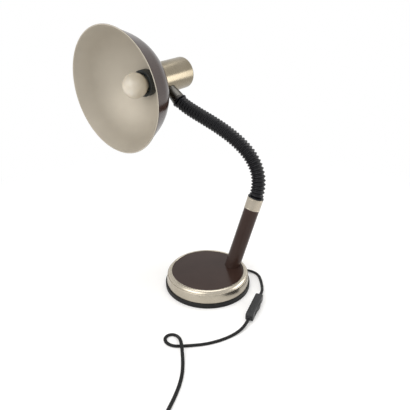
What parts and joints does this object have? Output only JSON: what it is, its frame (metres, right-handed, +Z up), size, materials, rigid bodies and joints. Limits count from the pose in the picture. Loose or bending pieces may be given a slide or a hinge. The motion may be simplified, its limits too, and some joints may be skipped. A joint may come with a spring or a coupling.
{
  "type": "desk lamp",
  "caption": "Desk lamp with a dome shade on a ribbed gooseneck, a leaning stem and a heavy round base, with an in-line switch on its coiled flex.",
  "frame": {"origin": "centre of the base's flat underside, on the surface that the lamp stands on", "axes": "+Z up; +X the way the stem leans; the shade's mouth faces towards -X and -Y at rest"},
  "size_m": [0.2849, 0.6483, 0.4311],
  "materials": {
    "brown_enamel": "gloss enamel",
    "satin_nickel": "satin",
    "champagne_nickel": "brushed",
    "black_rubber": "matt",
    "black_neck": "satin",
    "spring_steel": "satin",
    "cast_iron": "rough",
    "zinc_steel": "zinc plated",
    "black_felt": "felt",
    "black_plastic": "satin",
    "black_flex": "satin",
    "tie_plastic": "satin",
    "holder_plastic": "satin",
    "brass": "bright",
    "frosted_glass": "frosted",
    "bulb_cap_metal": "bright"
  },
  "bodies": {
    "root": {"base_foot_ring": "black_rubber", "base_trim_ring": "satin_nickel", "base_top_plate": "brown_enamel", "base_weight": "cast_iron", "base_cover": "zinc_steel", "base_felt": "black_felt", "cover_screws": "zinc_steel", "cord_bush": "black_rubber", "stem_tube": "brown_enamel", "stem_plug": "zinc_steel", "stem_nipple": "zinc_steel", "stem_washer": "zinc_steel", "stem_nut": "zinc_steel", "lower_ferrule": "satin_nickel", "neck_sleeve": "black_neck", "neck_link_1": "spring_steel", "cord_lead_1": "black_flex", "switch_lower_housing": "black_plastic", "switch_upper_housing": "black_plastic", "switch_screws": "zinc_steel", "rocker_pin": "zinc_steel", "cord_lead_2": "black_flex", "cord_coil": "black_flex", "coil_tie": "tie_plastic", "cord_lead_3": "black_flex", "plug_body": "black_plastic", "plug_pins": "brass"},
    "neck_2": {"neck_link_2": "spring_steel"},
    "neck_3": {"neck_link_3": "spring_steel"},
    "neck_4": {"neck_link_4": "spring_steel"},
    "neck_5": {"neck_link_5": "spring_steel"},
    "neck_6": {"neck_link_6": "spring_steel"},
    "head": {"neck_link_7": "spring_steel", "upper_ferrule": "satin_nickel", "head_nipple": "zinc_steel", "head_nut": "zinc_steel", "head_bracket": "zinc_steel", "socket_cap": "champagne_nickel", "shade_dome": "brown_enamel", "lampholder_body": "holder_plastic", "lampholder_nut": "zinc_steel", "lampholder_ring": "holder_plastic", "thread_shell": "brass", "centre_contact": "brass"},
    "bulb": {"bulb_glass": "frosted_glass", "bulb_screw_cap": "bulb_cap_metal", "bulb_contact": "bulb_cap_metal"},
    "rocker": {"switch_rocker": "black_plastic"}
  },
  "joints": [
    {"name": "neck_bend_1", "type": "hinge", "parent": "root", "child": "neck_2", "pos_m": [0.0929, 0.00598, 0.18895], "axis": [-0.692, -0.6746, 0.2571], "range_deg": [-20, 16], "deforming": ["neck_sleeve"]},
    {"name": "neck_sway_1", "type": "hinge", "parent": "neck_2", "child": "neck_3", "pos_m": [0.08732, 0.02407, 0.21855], "axis": [0.6317, -0.4322, 0.6436], "range_deg": [-20, 20]},
    {"name": "neck_bend_2", "type": "hinge", "parent": "neck_3", "child": "neck_4", "pos_m": [0.07377, 0.04865, 0.24005], "axis": [-0.7329, -0.6284, 0.2609], "range_deg": [-20, 16]},
    {"name": "neck_sway_2", "type": "hinge", "parent": "neck_4", "child": "neck_5", "pos_m": [0.05659, 0.0753, 0.25589], "axis": [0.4374, -0.162, 0.8846], "range_deg": [-20, 20]},
    {"name": "neck_bend_3", "type": "hinge", "parent": "neck_5", "child": "neck_6", "pos_m": [0.03776, 0.10247, 0.26871], "axis": [-0.7372, -0.6303, 0.2435], "range_deg": [-20, 16]},
    {"name": "neck_sway_3", "type": "hinge", "parent": "neck_6", "child": "head", "pos_m": [0.01829, 0.12956, 0.28075], "axis": [0.4088, -0.1274, 0.9037], "range_deg": [-20, 20]},
    {"name": "bulb_out", "type": "slide", "parent": "head", "child": "bulb", "axis": [-0.8554, -0.5136, -0.0666], "range_m": [0, 0.027]},
    {"name": "rocker_tip", "type": "hinge", "parent": "root", "child": "rocker", "pos_m": [0.04865, -0.10134, 0.007], "axis": [0, 0, 1], "range_deg": [0, 10]}
  ],
  "couplings": [
    {"joint": "neck_bend_2", "follows": "neck_bend_1", "ratio": 1},
    {"joint": "neck_bend_3", "follows": "neck_bend_1", "ratio": 1},
    {"joint": "neck_sway_2", "follows": "neck_sway_1", "ratio": 1},
    {"joint": "neck_sway_3", "follows": "neck_sway_1", "ratio": 1}
  ]
}
